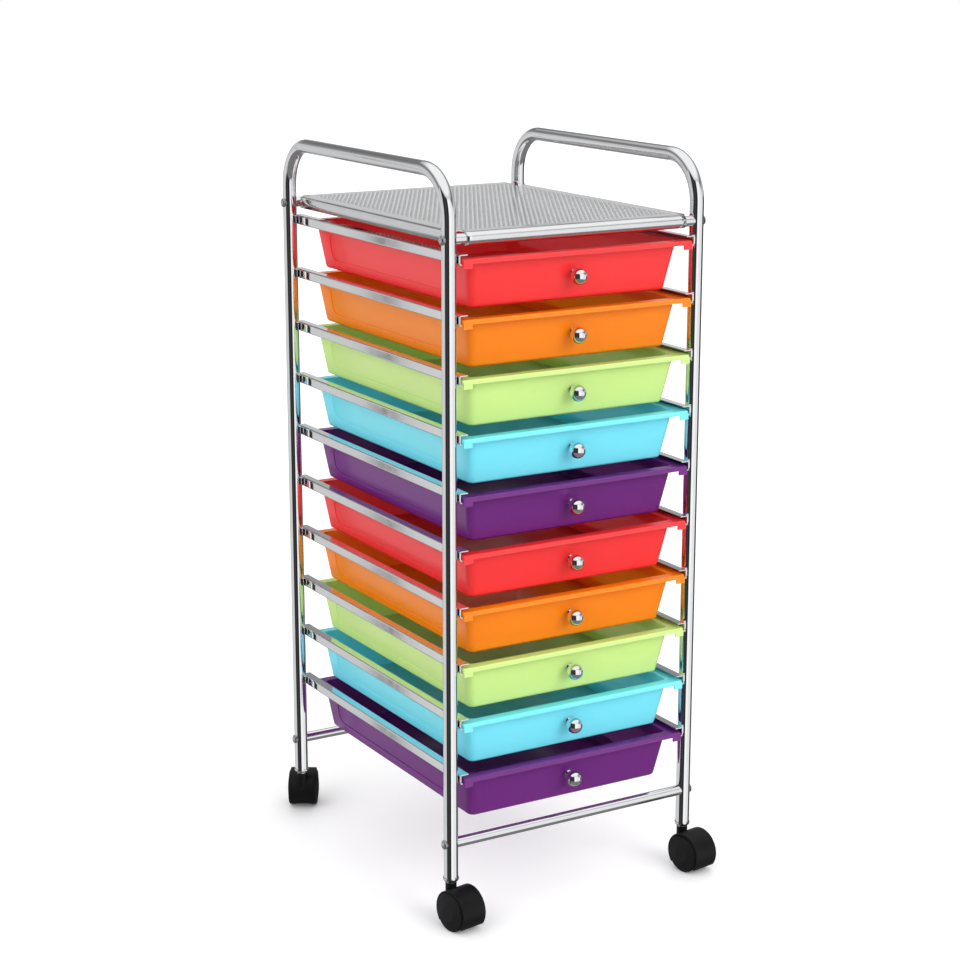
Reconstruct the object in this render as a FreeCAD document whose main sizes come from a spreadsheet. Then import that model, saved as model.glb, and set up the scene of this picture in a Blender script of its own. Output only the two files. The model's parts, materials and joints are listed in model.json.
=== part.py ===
import FreeCAD
import Part
import Sketcher
import math
import os
import re

# Rolling drawer cart: a chromed tube frame on twin-wheel casters, ten tapered drawers, a shelf on top.
# X runs left to right, Y front to back, Z up from the floor. Drawers open towards -Y. Millimetres.

SIZES = {
    # Side frames: each bent tube is a front post, a handle and a rear post
    "frame_width": 314,
    "frame_depth": 379,
    "tube_dia": 16,
    "tube_wall": 1.2,
    "handle_rise": 69.5,
    "handle_bend": 50,
    # Cross bars between the side frames, with threaded plugs in their ends
    "bar_dia": 12,
    "bar_wall": 1.2,
    "bar_cope_gap": 0.1,
    "bottom_bar_rise": 40,
    "top_bar_rise": 20.77,
    "plug_length": 16,
    "plug_setback": 2,
    "plug_fit": 0.1,
    # Screws through the posts into the plugs
    "screw_dia": 5,
    "screw_clearance": 0.25,
    "screw_fit": 0.05,
    "screw_reach": 13,
    "screw_head_dia": 10.4,
    "screw_head_rim": 1,
    "screw_head_dome": 2.2,
    # Channel rails that the drawer lips run in
    "rail_height": 11,
    "rail_flange": 10,
    "rail_sheet": 1,
    "rail_bend": 1.8,
    "rail_pitch": 63.67,
    "rail_count": 10,
    # Top shelf, rolled round the top bars, folded down at the sides and opened by a grid
    "shelf_sheet": 1,
    "shelf_roll_gap": 0.3,
    "shelf_roll_inset": 18.5,
    "shelf_side_gap": 0.5,
    "shelf_flange": 13,
    "shelf_bend": 2.4,
    "shelf_notch": 10.5,
    "shelf_openings": 12,
    "shelf_rib": 13,
    "shelf_side_border": 16.3,
    "shelf_end_border": 14.5,
    # Drawers: a drafted tray under a flat lip with a turned-down skirt
    "drawer_gap": 8.17,
    "drawer_bar_gap": 14.8,
    "drawer_lift": 0.2,
    "drawer_wall": 2,
    "drawer_corner": 9,
    "drawer_bottom_round": 4,
    "side_draft": 8,
    "front_draft": 12,
    "rear_draft": 9,
    "lip_side_play": 2,
    "lip_side_width": 12.5,
    "lip_front_width": 9.8,
    "lip_rear_width": 10,
    "lip_rear_setback": 5.5,
    "lip_corner": 4,
    "lip_height": 4.9,
    "lip_sheet": 2,
    "lip_round": 1.4,
    "skirt_sheet": 2,
    "stop_gap": 0.3,
    "stop_drop": 4.9,
    "stop_width": 10.5,
    "stop_inset": 1,
    "panel_end_border": 26,
    "panel_low_border": 12,
    "panel_top_border": 8,
    "panel_corner": 11,
    "panel_depth": 0.8,
    # Ball knobs and the screws that hold them from inside
    "knob_dia": 18.7,
    "knob_standoff": 2.25,
    "knob_drop": 26.5,
    "knob_neck_dia": 8,
    "knob_foot_dia": 11,
    "knob_foot": 1.4,
    "knob_screw_dia": 4,
    "knob_screw_depth": 8,
    "knob_screw_end_gap": 0.5,
    "knob_screw_fit": 0.05,
    "knob_hole_clearance": 0.25,
    "knob_screw_head_dia": 8,
    "knob_screw_head": 2.4,
    # Sockets in the post ends, and the stems that they hold
    "socket_depth": 26,
    "socket_fit": 0.1,
    "socket_rim": 4,
    "socket_lip": 0.8,
    "socket_round": 2.6,
    "stem_dia": 8,
    "stem_fit": 0.05,
    "stem_reach": 20.4,
    "stem_flange": 1.6,
    "stem_flange_width": 1.8,
    # Twin-wheel casters: two wheels on one axle under a hood that swivels on the stem
    "caster_trail": 17.7,
    "caster_head": 7.5,
    "wheel_dia": 44,
    "wheel_tread": 8.7,
    "wheel_crown": 1.6,
    "wheel_edge": 1.2,
    "wheel_hub_dia": 18,
    "wheel_bore_depth": 8,
    "wheel_side_gap": 0.5,
    "wheel_hood_gap": 0.6,
    "axle_dia": 6,
    "axle_fit": 0.05,
    "axle_end_gap": 0.3,
    "hood_sheet": 1.9,
    "hood_overhang": 7.5,
    "hood_web_wall": 4,
    "hood_skirt": 7,
    "neck_wall": 2.3,
    "neck_floor": 3,
    "neck_gap": 0.3,
    # How the casters happen to stand, in degrees from +X to the way each one trails
    "front_left_heading_deg": -81.2,
    "front_right_heading_deg": -81.2,
    "rear_left_heading_deg": 58.2,
    "rear_right_heading_deg": 112,
    # How far every cut runs past what it cuts
    "overrun": 2,
}

# Heights that follow from the sizes, from the floor up to the handles
WHEEL_RADIUS = "(wheel_dia / 2)"
HOOD_RADIUS = f"({WHEEL_RADIUS} + wheel_hood_gap + hood_sheet)"
POST_BOTTOM = f"({WHEEL_RADIUS} + {HOOD_RADIUS} + caster_head)"
FLANGE_LOW = f"({POST_BOTTOM} - socket_rim - stem_flange)"
STEM_LOW = f"({FLANGE_LOW} - stem_reach)"
NECK_TOP = f"({FLANGE_LOW} - neck_gap)"
BOTTOM_BAR = f"({POST_BOTTOM} + bottom_bar_rise)"
DRAWER_HEIGHT = "(rail_pitch - drawer_gap)"
LIP_LOW = "(rail_sheet + drawer_lift - rail_height / 2)"
RIM_TOP = f"({LIP_LOW} + lip_height)"
LOWEST_RAIL = f"({BOTTOM_BAR} + bar_dia / 2 + drawer_bar_gap + {DRAWER_HEIGHT} - {RIM_TOP})"
TOP_BAR = f"({LOWEST_RAIL} + rail_pitch * (rail_count - 1) + top_bar_rise)"
HANDLE = f"({TOP_BAR} + handle_rise)"

# Half widths, and depths from the middle of the cart
POST_X = "(frame_width / 2)"
POST_Y = "(frame_depth / 2)"
RAIL_BACK = f"({POST_X} - tube_dia / 2)"
RAIL_END = f"({POST_Y} + tube_dia / 2)"
LIP_HALF = f"({RAIL_BACK} - rail_sheet - lip_side_play)"
LIP_FRONT = f"({RAIL_END} + stop_gap + skirt_sheet)"
LIP_REAR = f"({POST_Y} - lip_rear_setback)"
TRAY_HALF = f"({LIP_HALF} - lip_side_width)"
TRAY_FRONT = f"({LIP_FRONT} - lip_front_width)"
TRAY_REAR = f"({LIP_REAR} - lip_rear_width)"
HOOD_WEB = "(stem_dia + 2 * hood_web_wall)"
WHEEL_INNER = f"({HOOD_WEB} / 2 + wheel_side_gap)"

# The drafted front wall, and where the knob sits on it
FRONT_LEAN = f"atan(front_draft / {DRAWER_HEIGHT})"
KNOB_FACE = f"({TRAY_FRONT} - front_draft * knob_drop / {DRAWER_HEIGHT})"

LEFT = 1
RIGHT = -1
LEVEL_TOLERANCE = 1e-6
UP = FreeCAD.Vector(0, 0, 1)
ACROSS = FreeCAD.Vector(1, 0, 0)

doc = FreeCAD.newDocument("drawer_cart")
sheet = doc.addObject("Spreadsheet::Sheet", "Sizes")
for row, (alias, number) in enumerate(SIZES.items(), start=1):
    sheet.set(f"A{row}", alias)
    sheet.set(f"B{row}", str(number))
    sheet.setAlias(f"B{row}", alias)
doc.recompute()

pieces = []


def linked(text):
    """The expression with every size read from its cell."""
    return re.sub(r"[a-z]\w*", lambda word: f"Sizes.{word[0]}" if word[0] in SIZES else word[0], text)


def value(text):
    """The expression's number now."""
    return float(sheet.evalExpression(linked(text)))


def bind(item, sizes):
    for name, text in sizes.items():
        item.setExpression(name, linked(text))


def new_body(label):
    body = doc.addObject("PartDesign::Body", label)
    body.Label = label
    body.AllowCompound = True
    pieces.append(body)
    return body


def copy_of(original, label):
    """One more of a piece that is already drawn."""
    body = new_body(label)
    copy = doc.addObject("PartDesign::FeatureBase", f"{label}_copy")
    copy.BaseFeature = original
    body.Group = [copy]
    body.Tip = copy
    return body


def place(body, x="0", y="0", z="0", turn=None, axis=UP):
    if turn:
        body.Placement.Rotation = FreeCAD.Rotation(axis, value(turn))
        bind(body, {"Placement.Rotation.Angle": turn})
    bind(body, {"Placement.Base.x": x, "Placement.Base.y": y, "Placement.Base.z": z})


def origin_part(body, role):
    return next(item for item in body.Origin.OriginFeatures if item.Role == role)


def sketch_on(body, role, name, shift=None, tilt=None):
    """A sketch on an origin plane, shifted along its own axes and tilted about its own X."""
    sketch = body.newObject("Sketcher::SketchObject", f"{body.Name}_{name}")
    sketch.AttachmentSupport = [(origin_part(body, role), "")]
    sketch.MapMode = "FlatFace"
    if tilt:
        spin = FreeCAD.Rotation(ACROSS, value(tilt))
        sketch.AttachmentOffset = FreeCAD.Placement(FreeCAD.Vector(), spin)
        bind(sketch, {"AttachmentOffset.Rotation.Angle": tilt})
    for axis, text in (shift or {}).items():
        bind(sketch, {f"AttachmentOffset.Base.{axis}": text})
    return sketch


def measure(sketch, kind, *places, text):
    index = sketch.addConstraint(Sketcher.Constraint(kind, *places, value(text)))
    sketch.setExpression(f"Constraints[{index}]", linked(text))


def fix_point(sketch, edge, end, x, y):
    """Hold a point at (x, y) from the sketch's origin."""
    for axis, kind, text in ((-2, "DistanceX", x), (-1, "DistanceY", y)):
        if text == "0":
            sketch.addConstraint(Sketcher.Constraint("PointOnObject", edge, end, axis))
        else:
            measure(sketch, kind, -1, 1, edge, end, text=text)


def circle(sketch, x, y, radius):
    middle = FreeCAD.Vector(value(x), value(y), 0)
    edge = sketch.addGeometry(Part.Circle(middle, UP, value(radius)), False)
    fix_point(sketch, edge, 3, x, y)
    measure(sketch, "Radius", edge, text=radius)


def arc_between(start, end, radius, turn):
    """The short arc from start to end that turns LEFT or RIGHT."""
    chord = end - start
    reach = math.sqrt(max(radius**2 - chord.Length**2 / 4, 0))
    side = FreeCAD.Vector(-chord.y, chord.x, 0).normalize()
    middle = (start + end) / 2 + side * reach * turn
    first, last = (start, end) if turn == LEFT else (end, start)
    angles = [math.atan2(point.y - middle.y, point.x - middle.x) for point in (first, last)]
    return Part.ArcOfCircle(Part.Circle(middle, UP, radius), *angles)


def outline(sketch, points, closed=True):
    """Lines through (x, y) points; a point (x, y, radius, turn) is reached by an arc instead."""
    corners = [FreeCAD.Vector(value(point[0]), value(point[1]), 0) for point in points]
    count = len(points)
    runs = []
    for index in range(count if closed else count - 1):
        after = (index + 1) % count
        start, end, target = corners[index], corners[after], points[after]
        if len(target) == 2:
            edge = sketch.addGeometry(Part.LineSegment(start, end), False)
            runs.append((edge, 1, 2))
        else:
            radius, turn = target[2:]
            edge = sketch.addGeometry(arc_between(start, end, value(radius), turn), False)
            measure(sketch, "Radius", edge, text=radius)
            runs.append((edge, 1, 2) if turn == LEFT else (edge, 2, 1))
    for index, (edge, first, last) in enumerate(runs):
        fix_point(sketch, edge, first, *points[index][:2])
        if index + 1 < len(runs) or closed:
            follower, start, _ = runs[(index + 1) % len(runs)]
            sketch.addConstraint(Sketcher.Constraint("Coincident", edge, last, follower, start))
    if not closed:
        edge, _, last = runs[-1]
        fix_point(sketch, edge, last, *points[-1][:2])


def rectangle(sketch, x_low, y_low, x_high, y_high):
    outline(sketch, [(x_low, y_low), (x_high, y_low), (x_high, y_high), (x_low, y_high)])


def rounded_rectangle(sketch, x_low, y_low, x_high, y_high, corner):
    outline(sketch, [
        (x_low, f"{y_low} + {corner}"),
        (f"{x_low} + {corner}", y_low, corner, LEFT),
        (f"{x_high} - ({corner})", y_low),
        (x_high, f"{y_low} + {corner}", corner, LEFT),
        (x_high, f"{y_high} - ({corner})"),
        (f"{x_high} - ({corner})", y_high, corner, LEFT),
        (f"{x_low} + {corner}", y_high),
        (x_low, f"{y_high} - ({corner})", corner, LEFT),
    ])


def feature(body, kind, name, **settings):
    item = body.newObject(f"PartDesign::{kind}", f"{body.Name}_{name}")
    for key, setting in settings.items():
        setattr(item, key, setting)
    body.Tip = item
    return item


def pad(body, sketch, name, length, side="One side", backwards=False):
    item = feature(body, "Pad", name, Profile=sketch, SideType=side, Reversed=backwards)
    bind(item, {"Length": length})
    return item


def pocket(body, sketch, name, length, side="One side", backwards=False):
    """A cut that has to take something away."""
    doc.recompute()
    before = body.Shape.Volume
    item = feature(body, "Pocket", name, Profile=sketch, SideType=side, Reversed=backwards)
    bind(item, {"Length": length})
    doc.recompute()
    if body.Shape.Volume >= before:
        raise RuntimeError(f"{item.Name} cuts nothing")
    return item


def revolve(body, sketch, name, axis):
    return feature(body, "Revolution", name, Profile=sketch, ReferenceAxis=(sketch, [axis]))


def mirror(body, name, role, originals=None):
    """A mirror image of the named features, or of the whole body."""
    item = feature(body, "Mirrored", name, MirrorPlane=(origin_part(body, role), [""]))
    if originals:
        item.Originals = originals
    else:
        item.TransformMode = "Whole shape"
    return item


def line_up(body, name, axis, length, count):
    """Copies of the whole body, spread over a length along an origin axis."""
    item = feature(body, "LinearPattern", name, TransformMode="Whole shape")
    item.Direction = (origin_part(body, axis), [""])
    bind(item, {"Length": length, "Occurrences": count})
    return item


def spread(body, name, original, count, x_length, y_length):
    """Copies of a cut in a grid along X and Y."""
    item = feature(body, "LinearPattern", name, Originals=[original])
    item.Direction = (origin_part(body, "X_Axis"), [""])
    item.Direction2 = (origin_part(body, "Y_Axis"), [""])
    bind(item, {"Length": x_length, "Occurrences": count, "Length2": y_length, "Occurrences2": count})


def names_of(kind, parts, chosen):
    """Names such as Face3 of the chosen parts."""
    return [f"{kind}{number}" for number, part in enumerate(parts, start=1) if chosen(part)]


def fillet(body, name, radius, chosen):
    """Round the chosen edges."""
    doc.recompute()
    base = body.Tip
    item = feature(body, "Fillet", name, Base=(base, names_of("Edge", base.Shape.Edges, chosen)))
    bind(item, {"Radius": radius})


def draft(body, name, drop, chosen):
    """Lean the chosen faces in, by the drop's share of the drawer's height, about the rim's plane."""
    doc.recompute()
    base = body.Tip
    faces = names_of("Face", base.Shape.Faces, chosen)
    item = feature(body, "Draft", name, Base=(base, faces), Reversed=True)
    item.NeutralPlane = (origin_part(body, "XY_Plane"), [""])
    bind(item, {"Angle": f"atan({drop} / {DRAWER_HEIGHT})"})


def at_level(edge, height):
    box = edge.BoundBox
    return max(abs(box.ZMin - height), abs(box.ZMax - height)) < LEVEL_TOLERANCE


def side_frames():
    """Two bent tubes, each with a screw hole at every bar end."""
    left = new_body("left_frame_tube")
    path = sketch_on(left, "YZ_Plane", "path")
    outline(path, [
        (f"-{POST_Y}", POST_BOTTOM),
        (f"-{POST_Y}", f"{HANDLE} - handle_bend"),
        (f"handle_bend - {POST_Y}", HANDLE, "handle_bend", RIGHT),
        (f"{POST_Y} - handle_bend", HANDLE),
        (POST_Y, f"{HANDLE} - handle_bend", "handle_bend", RIGHT),
        (POST_Y, POST_BOTTOM),
    ], closed=False)
    ring = sketch_on(left, "XY_Plane", "ring", {"z": POST_BOTTOM})
    circle(ring, "0", f"-{POST_Y}", "tube_dia / 2")
    circle(ring, "0", f"-{POST_Y}", "tube_dia / 2 - tube_wall")
    feature(left, "AdditivePipe", "tube", Profile=ring, Spine=(path, []))
    holes = sketch_on(left, "YZ_Plane", "holes")
    for y in (f"-{POST_Y}", POST_Y):
        for z in (BOTTOM_BAR, TOP_BAR):
            circle(holes, y, z, "screw_dia / 2 + screw_clearance")
    pocket(left, holes, "screw_holes", "tube_dia + 2 * overrun", "Symmetric")
    place(left, x=f"-{POST_X}")
    place(copy_of(left, "right_frame_tube"), x=POST_X)


def rails():
    """Folded channels along both sides, open inwards, one pair for every drawer."""
    left = new_body("left_rails")
    profile = sketch_on(left, "XZ_Plane", "profile", {"y": LOWEST_RAIL})
    back = f"-{RAIL_BACK}"
    tip = f"rail_flange - {RAIL_BACK}"
    bend_x = f"rail_bend - {RAIL_BACK}"
    inside = f"rail_sheet - {RAIL_BACK}"
    inner_bend = "rail_bend - rail_sheet"
    outline(profile, [
        (bend_x, "-rail_height / 2", "rail_bend", LEFT),
        (tip, "-rail_height / 2"),
        (tip, "rail_sheet - rail_height / 2"),
        (bend_x, "rail_sheet - rail_height / 2"),
        (inside, "rail_bend - rail_height / 2", inner_bend, RIGHT),
        (inside, "rail_height / 2 - rail_bend"),
        (bend_x, "rail_height / 2 - rail_sheet", inner_bend, RIGHT),
        (tip, "rail_height / 2 - rail_sheet"),
        (tip, "rail_height / 2"),
        (bend_x, "rail_height / 2"),
        (back, "rail_height / 2 - rail_bend", "rail_bend", LEFT),
        (back, "rail_bend - rail_height / 2"),
    ])
    pad(left, profile, "channel", f"2 * {RAIL_END}", "Symmetric")
    line_up(left, "stack", "Z_Axis", "rail_pitch * (rail_count - 1)", "rail_count")
    right = copy_of(left, "right_rails")
    right.Placement.Rotation = FreeCAD.Rotation(UP, 180)


def cross_bars():
    """Four tubes between the side frames, their ends coped round the posts."""
    first = new_body("bottom_front_bar")
    ring = sketch_on(first, "YZ_Plane", "ring")
    circle(ring, "0", "0", "bar_dia / 2")
    circle(ring, "0", "0", "bar_dia / 2 - bar_wall")
    pad(first, ring, "tube", "frame_width", "Symmetric")
    posts = sketch_on(first, "XY_Plane", "posts")
    for x in (f"-{POST_X}", POST_X):
        circle(posts, x, "0", "tube_dia / 2 + bar_cope_gap")
    pocket(first, posts, "copes", "bar_dia + 2 * overrun", "Symmetric")
    place(first, y=f"-{POST_Y}", z=BOTTOM_BAR)
    place(copy_of(first, "bottom_rear_bar"), y=POST_Y, z=BOTTOM_BAR)
    place(copy_of(first, "top_front_bar"), y=f"-{POST_Y}", z=TOP_BAR)
    place(copy_of(first, "top_rear_bar"), y=POST_Y, z=TOP_BAR)


def at_every_bar_end(body):
    """Repeat a piece drawn at the bottom left front bar end at the other seven."""
    line_up(body, "upper", "Z_Axis", f"{TOP_BAR} - {BOTTOM_BAR}", "2")
    mirror(body, "rear", "XZ_Plane")
    mirror(body, "right", "YZ_Plane")


def bar_end_plugs():
    body = new_body("bar_end_plugs")
    start = {"x": f"-{POST_Y}", "y": BOTTOM_BAR, "z": f"plug_setback - {RAIL_BACK}"}
    ring = sketch_on(body, "YZ_Plane", "ring", start)
    circle(ring, "0", "0", "bar_dia / 2 - bar_wall - plug_fit")
    circle(ring, "0", "0", "screw_dia / 2 + screw_fit")
    pad(body, ring, "plug", "plug_length")
    at_every_bar_end(body)


def frame_screws():
    """Dome-headed screws through the posts into the bar end plugs."""
    body = new_body("frame_screws")
    seat = {"x": f"-{POST_X} - tube_dia / 2", "y": f"-{POST_Y}", "z": BOTTOM_BAR}
    profile = sketch_on(body, "XY_Plane", "profile", seat)
    dome = "((screw_head_dia / 2)^2 + screw_head_dome^2) / (2 * screw_head_dome)"
    outline(profile, [
        ("-screw_head_rim - screw_head_dome", "0", dome, LEFT),
        ("tube_dia + screw_reach", "0"),
        ("tube_dia + screw_reach", "screw_dia / 2"),
        ("0", "screw_dia / 2"),
        ("0", "screw_head_dia / 2"),
        ("-screw_head_rim", "screw_head_dia / 2"),
    ])
    revolve(body, profile, "screw", "H_Axis")
    at_every_bar_end(body)


def top_shelf():
    """A sheet rolled half round the top bars, with a flange at each side and a grid of openings."""
    body = new_body("top_shelf")
    roll = sketch_on(body, "YZ_Plane", "roll", {"y": TOP_BAR})
    inner = "(bar_dia / 2 + shelf_roll_gap)"
    outer = f"({inner} + shelf_sheet)"
    outline(roll, [
        (f"-{POST_Y}", f"-{outer}", outer, LEFT),
        (f"-{POST_Y}", f"-{inner}"),
        (f"-{POST_Y} - {inner}", "0", inner, RIGHT),
        (f"-{POST_Y}", inner, inner, RIGHT),
        (POST_Y, inner),
        (f"{POST_Y} + {inner}", "0", inner, RIGHT),
        (POST_Y, f"-{inner}", inner, RIGHT),
        (POST_Y, f"-{outer}"),
        (f"{POST_Y} + {outer}", "0", outer, LEFT),
        (POST_Y, outer, outer, LEFT),
        (f"-{POST_Y}", outer),
        (f"-{POST_Y} - {outer}", "0", outer, LEFT),
    ])
    pad(body, roll, "rolled_sheet", "frame_width - 2 * shelf_roll_inset", "Symmetric")
    fold = sketch_on(body, "XZ_Plane", "fold", {"y": f"{TOP_BAR} + {outer}"})
    side = f"({RAIL_BACK} - shelf_side_gap)"
    inner_bend = "shelf_bend - shelf_sheet"
    outline(fold, [
        (f"-{side}", "-shelf_flange"),
        (f"shelf_sheet - {side}", "-shelf_flange"),
        (f"shelf_sheet - {side}", "-shelf_bend"),
        (f"shelf_bend - {side}", "-shelf_sheet", inner_bend, RIGHT),
        (f"{side} - shelf_bend", "-shelf_sheet"),
        (f"{side} - shelf_sheet", "-shelf_bend", inner_bend, RIGHT),
        (f"{side} - shelf_sheet", "-shelf_flange"),
        (side, "-shelf_flange"),
        (side, "-shelf_bend"),
        (f"{side} - shelf_bend", "0", "shelf_bend", LEFT),
        (f"shelf_bend - {side}", "0"),
        (f"-{side}", "-shelf_bend", "shelf_bend", LEFT),
    ])
    pad(body, fold, "folded_sheet", "frame_depth - 2 * shelf_notch", "Symmetric")
    half_x = f"({side} - shelf_side_border)"
    half_y = f"({POST_Y} - shelf_end_border)"
    wide = f"((2 * {half_x} + shelf_rib) / shelf_openings - shelf_rib)"
    long = f"((2 * {half_y} + shelf_rib) / shelf_openings - shelf_rib)"
    opening = sketch_on(body, "XY_Plane", "opening", {"z": f"{TOP_BAR} + {outer}"})
    rectangle(opening, f"-{half_x}", f"-{half_y}", f"{wide} - {half_x}", f"{long} - {half_y}")
    cut = pocket(body, opening, "first_opening", "shelf_sheet + overrun")
    spread(body, "openings", cut, "shelf_openings", f"2 * {half_x} - {wide}", f"2 * {half_y} - {long}")


def at_every_post(body):
    """Repeat a piece drawn at the front left post at the other three."""
    mirror(body, "rear", "XZ_Plane")
    mirror(body, "right", "YZ_Plane")


def caster_sockets():
    """Sleeves in the post ends, each with a rounded bead below the tube."""
    body = new_body("caster_sockets")
    profile = sketch_on(body, "XZ_Plane", "profile", {"x": f"-{POST_X}", "y": POST_BOTTOM, "z": POST_Y})
    bore = "stem_dia / 2 + stem_fit"
    sleeve = "tube_dia / 2 - tube_wall - socket_fit"
    bead = "tube_dia / 2 + socket_lip"
    outline(profile, [
        (bore, "-socket_rim"),
        (f"{bead} - socket_round", "-socket_rim"),
        (bead, "socket_round - socket_rim", "socket_round", LEFT),
        (bead, "0"),
        (sleeve, "0"),
        (sleeve, "socket_depth"),
        (bore, "socket_depth"),
    ])
    revolve(body, profile, "socket", "V_Axis")
    at_every_post(body)


def caster_stems():
    """Pins up into the sockets, each with a flange under the socket's bead."""
    body = new_body("caster_stems")
    profile = sketch_on(body, "XZ_Plane", "profile", {"x": f"-{POST_X}", "z": POST_Y})
    flange = "stem_dia / 2 + stem_flange_width"
    outline(profile, [
        ("0", STEM_LOW),
        ("stem_dia / 2", STEM_LOW),
        ("stem_dia / 2", FLANGE_LOW),
        (flange, FLANGE_LOW),
        (flange, f"{FLANGE_LOW} + stem_flange"),
        ("stem_dia / 2", f"{FLANGE_LOW} + stem_flange"),
        ("stem_dia / 2", f"{POST_BOTTOM} + socket_depth"),
        ("0", f"{POST_BOTTOM} + socket_depth"),
    ])
    revolve(body, profile, "stem", "V_Axis")
    at_every_post(body)


def caster_hood(label):
    """A web between the wheels with a neck for the stem, and a cover over the top of both wheels."""
    body = new_body(label)
    cover = sketch_on(body, "XZ_Plane", "cover")
    half_chord = f"sqrt({HOOD_RADIUS}^2 - ({WHEEL_RADIUS} - hood_skirt)^2)"
    outline(cover, [
        (f"caster_trail - {half_chord}", "hood_skirt", HOOD_RADIUS, LEFT),
        (f"caster_trail + {half_chord}", "hood_skirt"),
        (f"caster_trail + {HOOD_RADIUS}", WHEEL_RADIUS, HOOD_RADIUS, LEFT),
        ("caster_trail", f"{WHEEL_RADIUS} + {HOOD_RADIUS}", HOOD_RADIUS, LEFT),
        (f"caster_trail - {HOOD_RADIUS}", WHEEL_RADIUS, HOOD_RADIUS, LEFT),
    ])
    pad(body, cover, "block", f"{HOOD_WEB} + 2 * hood_overhang", "Symmetric")
    wheel = sketch_on(body, "XZ_Plane", "wheel", {"z": f"{HOOD_WEB} / 2"})
    circle(wheel, "caster_trail", WHEEL_RADIUS, f"{WHEEL_RADIUS} + wheel_hood_gap")
    room = pocket(body, wheel, "wheel_room", "hood_overhang + overrun", backwards=True)
    mirror(body, "other_wheel_room", "XZ_Plane", [room])
    collar = sketch_on(body, "XY_Plane", "collar", {"z": f"{STEM_LOW} - neck_floor"})
    circle(collar, "0", "0", "stem_dia / 2 + neck_wall")
    pad(body, collar, "neck", f"{NECK_TOP} - {STEM_LOW} + neck_floor")
    bore = sketch_on(body, "XY_Plane", "bore", {"z": NECK_TOP})
    circle(bore, "0", "0", "stem_dia / 2 + stem_fit")
    pocket(body, bore, "stem_bore", f"{NECK_TOP} - {STEM_LOW} + neck_gap")
    hole = sketch_on(body, "XZ_Plane", "hole")
    circle(hole, "caster_trail", WHEEL_RADIUS, "axle_dia / 2 + axle_fit")
    pocket(body, hole, "axle_hole", f"{HOOD_WEB} + 2 * overrun", "Symmetric")
    return body


def caster_axle(label):
    body = new_body(label)
    profile = sketch_on(body, "XZ_Plane", "profile")
    circle(profile, "caster_trail", WHEEL_RADIUS, "axle_dia / 2")
    pad(body, profile, "pin", f"2 * ({WHEEL_INNER} + wheel_bore_depth - axle_end_gap)", "Symmetric")
    return body


def caster_wheel(label, sign):
    """One of the two wheels: a flat tread, a crowned outer face and a blind bore for the axle."""
    body = new_body(label)
    profile = sketch_on(body, "XY_Plane", "profile", {"x": "caster_trail", "z": WHEEL_RADIUS})
    bore = "axle_dia / 2 + axle_fit"
    bevel = f"{WHEEL_RADIUS} - wheel_edge"
    inner = f"{sign}{WHEEL_INNER}"
    outer = f"{sign}({WHEEL_INNER} + wheel_tread)"
    crown = f"{sign}({WHEEL_INNER} + wheel_tread + wheel_crown)"
    bore_end = f"{sign}({WHEEL_INNER} + wheel_bore_depth)"
    outline(profile, [
        (bore, inner),
        (bevel, inner),
        (WHEEL_RADIUS, f"{sign}({WHEEL_INNER} + wheel_edge)"),
        (WHEEL_RADIUS, f"{sign}({WHEEL_INNER} + wheel_tread - wheel_edge)"),
        (bevel, outer),
        ("wheel_hub_dia / 2", crown),
        ("0", crown),
        ("0", bore_end),
        (bore, bore_end),
    ])
    revolve(body, profile, "wheel", "V_Axis")
    return body


def casters():
    corners = {
        "front_left": (f"-{POST_X}", f"-{POST_Y}"),
        "front_right": (POST_X, f"-{POST_Y}"),
        "rear_left": (f"-{POST_X}", POST_Y),
        "rear_right": (POST_X, POST_Y),
    }
    first = {}
    for corner, (x, y) in corners.items():
        for part in ("hood", "axle", "wheel_1", "wheel_2"):
            label = f"{corner}_caster_{part}"
            if part in first:
                body = copy_of(first[part], label)
            elif part == "hood":
                body = caster_hood(label)
            elif part == "axle":
                body = caster_axle(label)
            else:
                body = caster_wheel(label, "" if part == "wheel_1" else "-")
            first.setdefault(part, body)
            place(body, x, y, turn=f"{corner}_heading_deg")


def lip_outline(sketch, inset, corner):
    """The lip's outline, inside its outer edge by the inset."""
    half, front, rear = (f"({edge} - {inset})" for edge in (LIP_HALF, LIP_FRONT, LIP_REAR))
    rounded_rectangle(sketch, f"-{half}", f"-{front}", half, rear, corner)


def tray(body):
    """A drafted block with rounded corners and bottom edges, shelled from above."""
    block = sketch_on(body, "XY_Plane", "block")
    rectangle(block, f"-{TRAY_HALF}", f"-{TRAY_FRONT}", TRAY_HALF, TRAY_REAR)
    pad(body, block, "tray_block", DRAWER_HEIGHT, backwards=True)
    half, front, rear = (value(edge) - LEVEL_TOLERANCE for edge in (TRAY_HALF, TRAY_FRONT, TRAY_REAR))
    draft(body, "side_draft", "side_draft", lambda face: abs(face.CenterOfMass.x) > half)
    draft(body, "front_draft", "front_draft", lambda face: face.CenterOfMass.y < -front)
    draft(body, "rear_draft", "rear_draft", lambda face: face.CenterOfMass.y > rear)
    height = value(DRAWER_HEIGHT)
    fillet(body, "corner_round", "drawer_corner", lambda edge: edge.BoundBox.ZLength > height / 2)
    fillet(body, "bottom_round", "drawer_bottom_round", lambda edge: at_level(edge, -height))
    doc.recompute()
    base = body.Tip
    mouth = names_of("Face", base.Shape.Faces, lambda face: abs(face.CenterOfMass.z) < LEVEL_TOLERANCE)
    shell = feature(body, "Thickness", "shell", Base=(base, mouth), Reversed=True)
    bind(shell, {"Value": "drawer_wall"})


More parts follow.
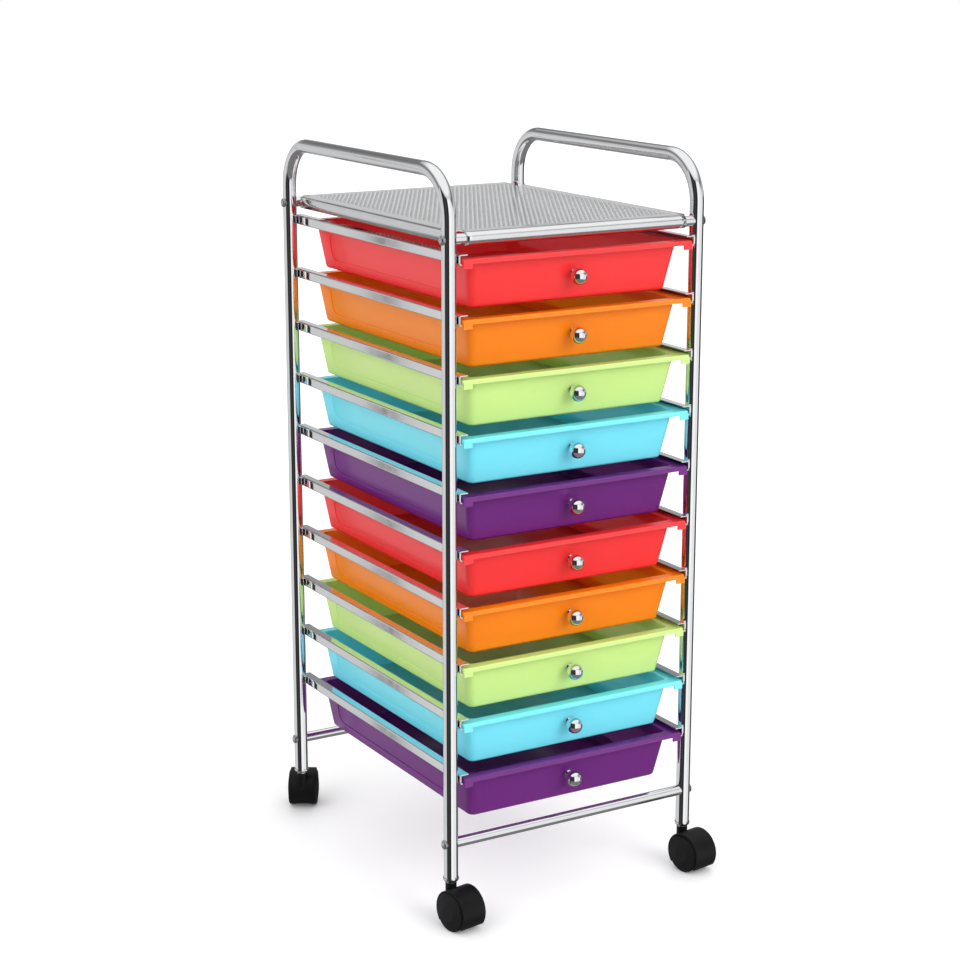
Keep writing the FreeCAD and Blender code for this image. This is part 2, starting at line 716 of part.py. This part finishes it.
def lip(body):
    """A flat lip round the rim, turned down at its edge, with a stop tab in front of each rail."""
    flat = sketch_on(body, "XY_Plane", "flat")
    lip_outline(flat, "0", "lip_corner")
    half, front, rear = (f"({edge} - drawer_wall / 2)" for edge in (TRAY_HALF, TRAY_FRONT, TRAY_REAR))
    rounded_rectangle(flat, f"-{half}", f"-{front}", half, rear, "drawer_corner - drawer_wall / 2")
    pad(body, flat, "lip_sheet", "lip_sheet", backwards=True)
    edge = sketch_on(body, "XY_Plane", "edge")
    lip_outline(edge, "0", "lip_corner")
    lip_outline(edge, "skirt_sheet", "lip_corner - skirt_sheet")
    pad(body, edge, "skirt", "lip_height", backwards=True)
    tabs = sketch_on(body, "XY_Plane", "tabs", {"z": "-lip_height - stop_drop"})
    tab_outer = f"({LIP_HALF} - stop_inset)"
    tab_inner = f"({tab_outer} - stop_width)"
    for x_low, x_high in ((f"-{tab_outer}", f"-{tab_inner}"), (tab_inner, tab_outer)):
        rectangle(tabs, x_low, f"-{LIP_FRONT}", x_high, f"skirt_sheet - {LIP_FRONT}")
    pad(body, tabs, "stops", "stop_drop + lip_height / 2")
    half, front, rear = (value(edge) for edge in (TRAY_HALF, TRAY_FRONT, TRAY_REAR))

    def outer(middle):
        return abs(middle.x) > half or not -front < middle.y < rear

    fillet(body, "lip_round", "lip_round", lambda edge: at_level(edge, 0) and outer(edge.CenterOfMass))


def side_panels(body):
    """A shallow recess with round corners in each side wall."""
    lean = f"atan(side_draft / {DRAWER_HEIGHT})"
    panel = sketch_on(body, "YZ_Plane", "panel", {"z": TRAY_HALF}, lean)
    front = f"(panel_end_border + front_draft - {TRAY_FRONT})"
    rear = f"({TRAY_REAR} - rear_draft - panel_end_border)"
    low = f"(panel_low_border - sqrt({DRAWER_HEIGHT}^2 + side_draft^2))"
    top = "-(lip_height + panel_top_border)"
    rounded_rectangle(panel, front, low, rear, top, "panel_corner")
    recess = pocket(body, panel, "side_panel", "panel_depth")
    mirror(body, "other_side_panel", "YZ_Plane", [recess])


def drawer(label):
    """A moulded tray whose lip runs in the rails, drawn with its rim at height zero."""
    body = new_body(label)
    tray(body)
    lip(body)
    side_panels(body)
    hole = sketch_on(body, "XZ_Plane", "hole", {"y": "-knob_drop", "z": KNOB_FACE}, FRONT_LEAN)
    circle(hole, "0", "0", "knob_screw_dia / 2 + knob_hole_clearance")
    pocket(body, hole, "knob_hole", "drawer_wall + overrun")
    return body


def knob(label):
    """A turned ball on a neck and a foot, bored from behind for its screw."""
    body = new_body(label)
    profile = sketch_on(body, "XZ_Plane", "profile")
    ball = "(knob_dia / 2)"
    neck = "(knob_neck_dia / 2)"
    centre = f"({ball} + knob_standoff)"
    bore = "knob_screw_dia / 2 + knob_screw_fit"
    outline(profile, [
        (bore, "0"),
        ("knob_foot_dia / 2", "0"),
        ("knob_foot_dia / 2", "knob_foot"),
        (neck, "knob_foot"),
        (neck, f"{centre} - sqrt({ball}^2 - {neck}^2)"),
        (ball, centre, ball, LEFT),
        ("0", f"{centre} + {ball}", ball, LEFT),
        ("0", "knob_screw_depth"),
        (bore, "knob_screw_depth"),
    ])
    revolve(body, profile, "knob", "V_Axis")
    return body


def knob_screw(label):
    """A screw from inside the front wall into the knob."""
    body = new_body(label)
    profile = sketch_on(body, "XZ_Plane", "profile")
    end = "knob_screw_depth - knob_screw_end_gap"
    outline(profile, [
        ("0", "-drawer_wall - knob_screw_head"),
        ("knob_screw_head_dia / 2", "-drawer_wall - knob_screw_head"),
        ("knob_screw_head_dia / 2", "-drawer_wall"),
        ("knob_screw_dia / 2", "-drawer_wall"),
        ("knob_screw_dia / 2", end),
        ("0", end),
    ])
    revolve(body, profile, "screw", "V_Axis")
    return body


def drawers():
    """One drawer for every pair of rails, numbered from the top, each with its knob and screw."""
    makers = {"drawer": drawer, "knob": knob, "knob_screw": knob_screw}
    first = {}
    count = int(value("rail_count"))
    for number in range(1, count + 1):
        rim = f"{LOWEST_RAIL} + rail_pitch * (rail_count - {number}) + {RIM_TOP}"
        for part, make in makers.items():
            label = f"{part}_{number}"
            body = copy_of(first[part], label) if part in first else make(label)
            first.setdefault(part, body)
            if part == "drawer":
                place(body, z=rim)
            else:
                lean = f"90 deg + {FRONT_LEAN}"
                place(body, y=f"-{KNOB_FACE}", z=f"{rim} - knob_drop", turn=lean, axis=ACROSS)


def write_pieces():
    """Every object has to be sound before any file is written."""
    doc.recompute()
    for item in doc.Objects:
        if "Invalid" in item.State or "Error" in item.State:
            raise RuntimeError(f"{item.Name} failed: {item.State}")
    for body in pieces:
        if body.Shape.isNull() or not body.Shape.isValid() or not body.Shape.Solids:
            raise RuntimeError(f"{body.Label} has no sound shape")
    os.makedirs("parts", exist_ok=True)
    for body in pieces:
        body.Shape.exportStep(os.path.join("parts", f"{body.Label}.step"))


side_frames()
rails()
cross_bars()
bar_end_plugs()
frame_screws()
top_shelf()
caster_sockets()
caster_stems()
casters()
drawers()
write_pieces()
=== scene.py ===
import bmesh
import bpy
import json
import math
from mathutils import Matrix, Vector


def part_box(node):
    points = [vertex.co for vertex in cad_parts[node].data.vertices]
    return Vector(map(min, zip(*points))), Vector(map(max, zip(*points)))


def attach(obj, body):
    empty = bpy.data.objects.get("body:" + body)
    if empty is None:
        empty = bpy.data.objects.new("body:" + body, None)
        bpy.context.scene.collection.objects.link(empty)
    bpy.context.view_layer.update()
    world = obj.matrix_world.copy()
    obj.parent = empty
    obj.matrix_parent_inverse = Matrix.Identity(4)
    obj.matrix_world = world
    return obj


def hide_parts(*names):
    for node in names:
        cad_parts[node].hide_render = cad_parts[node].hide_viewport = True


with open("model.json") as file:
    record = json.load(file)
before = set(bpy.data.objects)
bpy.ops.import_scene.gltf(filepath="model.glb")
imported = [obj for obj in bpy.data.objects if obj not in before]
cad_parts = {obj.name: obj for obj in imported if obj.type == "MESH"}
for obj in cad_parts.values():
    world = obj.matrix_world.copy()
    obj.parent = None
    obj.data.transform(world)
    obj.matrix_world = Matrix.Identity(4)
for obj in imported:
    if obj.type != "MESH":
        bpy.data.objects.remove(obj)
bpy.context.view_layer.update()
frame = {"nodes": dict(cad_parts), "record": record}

# Shelf, in metres
MM = 0.001
SHELF_SHEET = 1 * MM
SHELF_BEND = 2.4 * MM
SHELF_FLANGE = 13 * MM
SHELF_NOTCH = 10.5 * MM
SHELF_ROLL_INSET = 10 * MM
SHELF_SHARP = math.radians(35)
HOLE_PITCH = 5.75 * MM
HOLE_ROW = 5 * MM
HOLE_RADIUS = 1.65 * MM
HOLE_SIDES = 8
HOLE_COLUMNS = 46
HOLE_ROWS = 70
ROLL_STEPS = 14
BEND_STEPS = 4
WELD = 0.01 * MM

# Camera, fitted to the posts, bars, rails and knobs
CAMERA_PLACE = Vector((-1.2657, -2.1436, 1.0695))
CAMERA_YAW = math.radians(30.391)
CAMERA_PITCH = math.radians(-14.027)
CAMERA_LENS = 81.91
SENSOR = 36

# Floor and light
FLOOR_HALF = 12
FLOOR_PALE = 0.82
FLOOR_GLOW = 0.34
FLOOR_GLOSS = 0.05
FLOOR_GLOSS_ROUGHNESS = 0.12
# Reach of the painted contact shadow on the floor
PAINTED_CONTACT_SHADOW_REACH = 70 * MM
WORLD_LIGHT = 0.75

# What mirrors see of the studio, as grey levels
# Bearings are in turns: 0 is ahead of the camera, 0.25 to its left, 0.5 behind it
# Heights are the upward part of a direction, from -1 to 1
STUDIO_BANDS = (
    (0.0, 0.50),
    (0.153, 0.64),
    (0.170, 0.72),
    (0.31, 0.68),
    (0.335, 0.015),
    (0.42, 0.05),
    (0.515, 0.010),
    (0.53, 1.12),
    (0.63, 0.98),
    (0.70, 0.84),
    (0.76, 1.10),
    (0.775, 0.02),
    (0.87, 0.13),
    (0.96, 0.03),
    (1.0, 0.50),
)
STUDIO_CEILING = (
    (0.0, 0.58),
    (0.21, 0.62),
    (0.26, 0.34),
    (0.47, 0.16),
    (0.56, 0.50),
    (0.75, 1.0),
)
STUDIO_FLOOR = 0.20
FLOOR_EDGE = (-0.50, -0.44)
CEILING_EDGE = (-0.02, 0.03)
CEILING_LIFT = 0.6
CEILING_LIFT_BEHIND = 0.4
STAND_LEVEL = 0.04
STAND_BEARING = 0.1618
STAND_HALF = 0.0004
STAND_SOFT = 0.0006

# Finishes
CHROME = (0.82, 0.83, 0.85, 1)
CHROME_BRIGHT = (0.90, 0.905, 0.915, 1)
SHEET_BRIGHT = (0.88, 0.885, 0.895, 1)
KNOB_CHROME = (0.86, 0.865, 0.875, 1)
STEEL = (0.56, 0.57, 0.59, 1)
STEEL_BRIGHT = (0.68, 0.69, 0.70, 1)
BLACK = (0.0032, 0.0032, 0.0036, 1)
BLACK_PALER = (0.007, 0.007, 0.0075, 1)
DRAWER_COLOURS = {
    "drawer_red": (0.91, 0.039, 0.042, 1),
    "drawer_orange": (0.95, 0.228, 0.005, 1),
    "drawer_green": (0.575, 0.84, 0.260, 1),
    "drawer_blue": (0.190, 0.76, 0.98, 1),
    "drawer_purple": (0.148, 0.018, 0.192, 1),
}
DRAWER_DEEPER = 0.93
DRAWER_LIGHT_REACH = 6 * MM


class Value:
    """A shader socket. Arithmetic on it adds Math nodes."""

    def __init__(self, tree, socket):
        self.tree = tree
        self.socket = socket

    def maths(self, operation, *values):
        return node(self.tree, "ShaderNodeMath", {"operation": operation}, dict(enumerate(values)))

    def __add__(self, other):
        return self.maths("ADD", self, other)

    def __sub__(self, other):
        return self.maths("SUBTRACT", self, other)

    def __rsub__(self, other):
        return self.maths("SUBTRACT", other, self)

    def __mul__(self, other):
        return self.maths("MULTIPLY", self, other)

    __radd__ = __add__
    __rmul__ = __mul__


def node(tree, kind, settings, inputs, output=0):
    """Add a node: its settings first, then the values or links of its sockets."""
    made = tree.nodes.new(kind)
    for name, setting in settings.items():
        if name == "stops":
            set_stops(made.color_ramp, setting)
        else:
            setattr(made, name, setting)
    for name, value in inputs.items():
        if isinstance(value, Value):
            tree.links.new(value.socket, made.inputs[name])
        else:
            made.inputs[name].default_value = value
    return Value(tree, made.outputs[output]) if made.outputs else None


def set_stops(ramp, stops):
    """Give a ramp its stops, each a place and a grey level."""
    while len(ramp.elements) < len(stops):
        ramp.elements.new(1)
    for element, (place, level) in zip(ramp.elements, stops):
        element.position = place
        element.color = grey(level)


def grey(level):
    return (level, level, level, 1)


def object_place(tree, scale=(1, 1, 1)):
    """Object coordinates, stretched where a pattern runs one way."""
    place = node(tree, "ShaderNodeTexCoord", {}, {}, "Object")
    return node(tree, "ShaderNodeMapping", {}, {"Vector": place, "Scale": scale})


def noise(tree, place, scale, detail=2.0):
    return node(tree, "ShaderNodeTexNoise", {}, {"Vector": place, "Scale": scale, "Detail": detail})


def bump(tree, height, strength, distance):
    return node(tree, "ShaderNodeBump", {}, {"Height": height, "Strength": strength, "Distance": distance})


def rise(tree, value, start, end, top=1.0):
    """From 0 where the value is at start to top where it is at end, and level outside."""
    inputs = {"Value": value, "From Min": start, "From Max": end, "To Max": top}
    return node(tree, "ShaderNodeMapRange", {}, inputs)


def mix_colour(tree, share, first, second):
    settings = {"data_type": "RGBA"}
    inputs = {"Factor": share, 6: first, 7: second}
    return node(tree, "ShaderNodeMix", settings, inputs, 2)


def empty_tree(owner):
    """The node tree of a material or world, with nothing in it."""
    owner.use_nodes = True
    owner.node_tree.nodes.clear()
    return owner.node_tree


def material(name, paint):
    """A new material: paint adds its nodes and gives the Principled sockets."""
    made = bpy.data.materials.new(name)
    tree = empty_tree(made)
    surface = node(tree, "ShaderNodeBsdfPrincipled", {}, paint(tree))
    node(tree, "ShaderNodeOutputMaterial", {}, {"Surface": surface})
    return made


def chrome_plate(tree):
    """Mirror plate over drawn tube: a faint long ripple and a slightly uneven gloss."""
    ripple = noise(tree, object_place(tree), scale=9.0)
    haze = noise(tree, object_place(tree), scale=60.0, detail=3.0)
    return {
        "Base Color": mix_colour(tree, haze, CHROME, CHROME_BRIGHT),
        "Metallic": 1.0,
        "Roughness": 0.035 + haze * 0.05,
        "Normal": bump(tree, ripple, strength=0.04, distance=2 * MM),
    }


def chrome_sheet(tree):
    """Folded plated sheet: duller than the tubes, with fine rolling lines along the cart."""
    lines = noise(tree, object_place(tree, (400, 6, 400)), scale=1.0, detail=3.0)
    haze = noise(tree, object_place(tree), scale=35.0, detail=3.0)
    return {
        "Base Color": mix_colour(tree, haze, CHROME, SHEET_BRIGHT),
        "Metallic": 1.0,
        "Roughness": 0.10 + haze * 0.08,
        "Normal": bump(tree, lines, strength=0.05, distance=0.1 * MM),
    }


def bright_knob(tree):
    """Polished plate with a little haze."""
    haze = noise(tree, object_place(tree), scale=120.0)
    return {
        "Base Color": KNOB_CHROME,
        "Metallic": 1.0,
        "Roughness": 0.03 + haze * 0.05,
    }


def plated_steel(tree):
    """Dull plating with a fine grain."""
    grain = noise(tree, object_place(tree), scale=420.0, detail=4.0)
    return {
        "Base Color": mix_colour(tree, grain, STEEL, STEEL_BRIGHT),
        "Metallic": 1.0,
        "Roughness": 0.22 + grain * 0.15,
        "Normal": bump(tree, grain, strength=0.08, distance=0.1 * MM),
    }


def moulded_black(tree):
    """Satin black moulding with a fine spark-eroded grain."""
    grain = noise(tree, object_place(tree), scale=1500.0, detail=3.0)
    cloud = noise(tree, object_place(tree), scale=70.0)
    return {
        "Base Color": mix_colour(tree, cloud, BLACK, BLACK_PALER),
        "Roughness": 0.36 + cloud * 0.16,
        "Specular IOR Level": 0.18,
        "Normal": bump(tree, grain, strength=0.12, distance=0.1 * MM),
    }


def drawer_plastic(colour):
    """Glossy tinted plastic: cloudy flow inside the colour, a faint sink ripple in the gloss."""
    def paint(tree):
        flow = noise(tree, object_place(tree, (1, 1, 2.5)), scale=14.0, detail=3.0)
        ripple = noise(tree, object_place(tree), scale=26.0)
        deep = tuple(channel * DRAWER_DEEPER for channel in colour[:3]) + (1,)
        return {
            "Base Color": mix_colour(tree, flow, deep, colour),
            "Roughness": 0.16 + flow * 0.10,
            "Normal": bump(tree, ripple, strength=0.035, distance=1 * MM),
            "Subsurface Weight": 0.6,
            "Subsurface Radius": (DRAWER_LIGHT_REACH,) * 3,
            "Subsurface Scale": 1.0,
            "Specular IOR Level": 0.42,
            "Coat Weight": 0.10,
            "Coat Roughness": 0.05,
        }
    return paint


def make_finishes():
    """One material per slot of the record."""
    finishes = {
        "chrome": material("chrome_plate", chrome_plate),
        "shelf_chrome": material("chrome_sheet", chrome_sheet),
        "knob_chrome": material("bright_knob", bright_knob),
        "steel": material("plated_steel", plated_steel),
        "caster_plastic": material("moulded_black_hood", moulded_black),
        "wheel_plastic": material("moulded_black_wheel", moulded_black),
    }
    for slot, colour in DRAWER_COLOURS.items():
        finishes[slot] = material(f"{slot}_plastic", drawer_plastic(colour))
    return finishes


def dress_nodes(finishes):
    """Give every CAD node the finish of its slot."""
    for part in frame["record"]["subparts"]:
        made = frame["nodes"][part["node"]]
        made.data.materials.clear()
        made.data.materials.append(finishes[part["material_slot"]])


def everything(bm):
    return bm.verts[:] + bm.edges[:] + bm.faces[:]


def verts_of(geometry):
    return [item for item in geometry if isinstance(item, bmesh.types.BMVert)]


def edges_of(geometry):
    return [item for item in geometry if isinstance(item, bmesh.types.BMEdge)]


def holed_cell(bm):
    """One rectangle of the sheet with a round hole in its middle."""
    rings = []
    for radius in (HOLE_RADIUS, 1):
        made = bmesh.ops.create_circle(bm, segments=HOLE_SIDES, radius=radius)
        rings.append(made["verts"])
    # The outer ring's eight points go to the rectangle's corners and the middles of its sides
    for corner in rings[1]:
        across, along = (round(value * 1.2) for value in corner.co.xy)
        corner.co.xy = across * HOLE_PITCH / 2, along * HOLE_ROW / 2
    edges = list({edge for ring in rings for vert in ring for edge in vert.link_edges})
    bmesh.ops.bridge_loops(bm, edges=edges)


def plain_half_cell(bm, middle):
    """Half a cell with no hole, which ends a staggered row."""
    shape = Matrix.Translation((middle, 0, 0)) @ Matrix.Diagonal((HOLE_PITCH / 4, HOLE_ROW / 2, 1, 1))
    bmesh.ops.create_grid(bm, x_segments=1, y_segments=2, size=1, matrix=shape)


def repeat(bm, geometry, step, count):
    """Add copies of the geometry, each a step further, until there are count of it."""
    for number in range(1, count):
        copy = bmesh.ops.duplicate(bm, geom=geometry)["geom"]
        bmesh.ops.translate(bm, verts=verts_of(copy), vec=step * number)


def row_of_holes(bm, staggered):
    """A row across the shelf, centred on X, at Y zero."""
    before = set(everything(bm))
    count = HOLE_COLUMNS - 1 if staggered else HOLE_COLUMNS
    holed_cell(bm)
    cell = [item for item in everything(bm) if item not in before]
    start = Vector((-(count - 1) * HOLE_PITCH / 2, 0, 0))
    bmesh.ops.translate(bm, verts=verts_of(cell), vec=start)
    repeat(bm, cell, Vector((HOLE_PITCH, 0, 0)), count)
    if staggered:
        end = HOLE_COLUMNS * HOLE_PITCH / 2 - HOLE_PITCH / 4
        for middle in (-end, end):
            plain_half_cell(bm, middle)
    return [item for item in everything(bm) if item not in before]


def border(bm, test):
    """Open edges whose two ends both pass the test."""
    return [e for e in bm.edges if e.is_boundary and all(test(v.co) for v in e.verts)]


def near(first, second):
    return abs(first - second) < WELD


def pull(bm, edges, step):
    """Extrude open edges by a step, and give the new open edges."""
    made = bmesh.ops.extrude_edge_only(bm, edges=edges)["geom"]
    verts = verts_of(made)
    bmesh.ops.translate(bm, verts=verts, vec=step)
    moved = set(verts)
    return [edge for edge in edges_of(made) if set(edge.verts) <= moved]


def roll(bm, edges, centre, axis, angle, steps):
    """Spin open edges about an axis, and give the new open edges."""
    geometry = edges + list({v for e in edges for v in e.verts})
    made = bmesh.ops.spin(bm, geom=geometry, cent=centre, axis=axis, angle=angle, steps=steps)
    return edges_of(made["geom_last"])


def shelf_surface():
    """The sheet's outer face: holes, plain borders, a roll at front and back and a fold at each side."""
    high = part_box("top_shelf")[1]
    bar_low, bar_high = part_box("top_rear_bar")
    bar = (bar_low + bar_high) / 2
    top = high.z
    roll_half = high.x - SHELF_ROLL_INSET
    flange_half = bar.y - SHELF_NOTCH
    bend_start = high.x - SHELF_BEND
    bm = bmesh.new()
    step = Vector((0, 2 * HOLE_ROW, 0))
    for staggered in (False, True):
        row = row_of_holes(bm, staggered)
        first = (-(HOLE_ROWS - 1) / 2 + staggered) * HOLE_ROW
        bmesh.ops.translate(bm, verts=verts_of(row), vec=Vector((0, first, 0)))
        repeat(bm, row, step, HOLE_ROWS // 2)
    bmesh.ops.remove_doubles(bm, verts=bm.verts, dist=WELD)
    half_x = HOLE_COLUMNS * HOLE_PITCH / 2
    half_y = HOLE_ROWS * HOLE_ROW / 2
    for sign in (-1, 1):
        edges = border(bm, lambda place: near(place.x, sign * half_x))
        pull(bm, edges, Vector((sign * (roll_half - half_x), 0, 0)))
    for sign in (-1, 1):
        edges = border(bm, lambda place: near(place.y, sign * half_y))
        pull(bm, edges, Vector((0, sign * (flange_half - half_y), 0)))
    for sign in (-1, 1):
        edges = border(bm, lambda place: near(place.x, sign * roll_half))
        edges = pull(bm, edges, Vector((sign * (bend_start - roll_half), 0, 0)))
        centre = Vector((sign * bend_start, 0, -SHELF_BEND))
        edges = roll(bm, edges, centre, (0, sign, 0), math.pi / 2, BEND_STEPS)
        pull(bm, edges, Vector((0, 0, SHELF_BEND - SHELF_FLANGE)))
    for sign in (-1, 1):
        edges = border(bm, lambda place: near(place.y, sign * flange_half) and near(place.z, 0)
                       and abs(place.x) < roll_half + WELD)
        edges = pull(bm, edges, Vector((0, sign * (bar.y - flange_half), 0)))
        centre = Vector((0, sign * bar.y, bar.z - top))
        roll(bm, edges, centre, (-sign, 0, 0), math.pi, ROLL_STEPS)
    bmesh.ops.remove_doubles(bm, verts=bm.verts, dist=WELD)
    bmesh.ops.translate(bm, verts=bm.verts, vec=Vector((0, 0, top)))
    bmesh.ops.recalc_face_normals(bm, faces=bm.faces)
    if sum(face.normal.z for face in bm.faces) < 0:
        bmesh.ops.reverse_faces(bm, faces=bm.faces)
    return bm


def mesh_piece(name, bm, finish):
    """An object in the scene with the mesh that was built."""
    mesh = bpy.data.meshes.new(name)
    bm.to_mesh(mesh)
    bm.free()
    mesh.materials.append(finish)
    piece = bpy.data.objects.new(name, mesh)
    bpy.context.collection.objects.link(piece)
    return piece


def perforated_shelf(finish):
    """The shelf with its fine holes, in place of the plain one."""
    piece = mesh_piece("perforated_shelf", shelf_surface(), finish)
    piece.data.shade_smooth()
    piece.data.set_sharp_from_angle(angle=SHELF_SHARP)
    wall = piece.modifiers.new("sheet", "SOLIDIFY")
    wall.thickness = SHELF_SHEET
    wall.offset = -1
    wall.use_even_offset = True
    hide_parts("top_shelf")
    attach(piece, "frame")


def floor_finish():
    """Shows white and keeps the lamps' shadow, with a painted contact shadow where its glow dims near
    other objects; mirrors look through it to the studio.
    """
    made = bpy.data.materials.new("pale_floor")
    tree = empty_tree(made)
    pale = node(tree, "ShaderNodeBsdfDiffuse", {}, {"Color": grey(FLOOR_PALE)})
    seen = node(tree, "ShaderNodeLightPath", {}, {}, "Is Camera Ray")
    # Near other objects the glow dims: a painted contact shadow on the floor
    clearance_for_painted_shadow = node(tree, "ShaderNodeAmbientOcclusion", {}, {"Distance": PAINTED_CONTACT_SHADOW_REACH}, "AO")
    level = mix_colour(tree, seen * clearance_for_painted_shadow, grey(0), grey(FLOOR_GLOW))
    glow = node(tree, "ShaderNodeEmission", {}, {"Color": level, "Strength": 1.0})
    sheen = node(tree, "ShaderNodeBsdfGlossy", {}, {"Color": grey(1), "Roughness": FLOOR_GLOSS_ROUGHNESS})
    matt = node(tree, "ShaderNodeMixShader", {}, {0: FLOOR_GLOSS, 1: pale, 2: sheen})
    lit = node(tree, "ShaderNodeAddShader", {}, {0: matt, 1: glow})
    clear = node(tree, "ShaderNodeBsdfTransparent", {}, {})
    mirrored = node(tree, "ShaderNodeLightPath", {}, {}, "Is Glossy Ray")
    surface = node(tree, "ShaderNodeMixShader", {}, {0: mirrored, 1: lit, 2: clear})
    node(tree, "ShaderNodeOutputMaterial", {}, {"Surface": surface})
    return made


def floor():
    bm = bmesh.new()
    bmesh.ops.create_grid(bm, x_segments=1, y_segments=1, size=FLOOR_HALF)
    piece = mesh_piece("floor", bm, floor_finish())


def studio_world():
    """White to the camera and even light all round; mirrors see the studio's panels, flags and stand."""
    world = bpy.data.worlds.new("studio")
    bpy.context.scene.world = world
    tree = empty_tree(world)
    way = node(tree, "ShaderNodeTexCoord", {}, {}, "Generated")
    turned = node(tree, "ShaderNodeVectorRotate", {"rotation_type": "Z_AXIS"},
                  {"Vector": way, "Angle": CAMERA_YAW})
    right, ahead, up = (node(tree, "ShaderNodeSeparateXYZ", {}, {0: turned}, axis) for axis in "XYZ")
    bearing = right.maths("ARCTAN2", right, ahead * -1) * (0.5 / math.pi) + 0.5
    bands = node(tree, "ShaderNodeValToRGB", {"stops": STUDIO_BANDS}, {0: bearing})
    ceiling = node(tree, "ShaderNodeValToRGB", {"stops": STUDIO_CEILING}, {0: up})
    aside = bearing.maths("ABSOLUTE", bearing - STAND_BEARING)
    past_stand = rise(tree, aside, STAND_HALF, STAND_HALF + STAND_SOFT)
    walls = mix_colour(tree, past_stand, grey(STAND_LEVEL), bands)
    above_floor = rise(tree, up, *FLOOR_EDGE)
    below_ceiling = mix_colour(tree, above_floor, grey(STUDIO_FLOOR), walls)
    # The ceiling starts higher behind the camera
    lift = rise(tree, ahead, 0.0, -CEILING_LIFT_BEHIND, CEILING_LIFT)
    above_walls = rise(tree, up - lift, *CEILING_EDGE)
    mirrored = mix_colour(tree, above_walls, below_ceiling, ceiling)
    seen = node(tree, "ShaderNodeLightPath", {}, {}, "Is Camera Ray")
    glossy = node(tree, "ShaderNodeLightPath", {}, {}, "Is Glossy Ray")
    lit = mix_colour(tree, glossy, grey(WORLD_LIGHT), mirrored)
    colour = mix_colour(tree, seen, lit, grey(1))
    surface = node(tree, "ShaderNodeBackground", {}, {"Color": colour, "Strength": 1.0})
    node(tree, "ShaderNodeOutputWorld", {}, {"Surface": surface})


def soft_light(name, source, spread, strength):
    """Even light from a wide source in a direction, unseen in mirrors."""
    lamp = bpy.data.lights.new(name, "SUN")
    lamp.angle = math.radians(spread)
    lamp.energy = strength
    made = bpy.data.objects.new(name, lamp)
    made.rotation_euler = Vector(source).to_track_quat("Z", "Y").to_euler()
    made.visible_glossy = False
    bpy.context.collection.objects.link(made)


def camera():
    data = bpy.data.cameras.new("camera")
    data.lens = CAMERA_LENS
    data.sensor_width = SENSOR
    made = bpy.data.objects.new("camera", data)
    made.location = CAMERA_PLACE
    made.rotation_euler = (math.pi / 2 + CAMERA_PITCH, 0, -CAMERA_YAW)
    bpy.context.collection.objects.link(made)
    bpy.context.scene.camera = made


finishes = make_finishes()
dress_nodes(finishes)
perforated_shelf(finishes["shelf_chrome"])
floor()
studio_world()
soft_light("key", source=(0.25, -0.85, 0.45), spread=40, strength=1.58)
soft_light("fill", source=(-0.9, -0.3, 0.3), spread=60, strength=1.40)
soft_light("back", source=(0.5, 0.85, 0.35), spread=60, strength=0.80)
camera()
bpy.context.scene.view_settings.view_transform = "Standard"
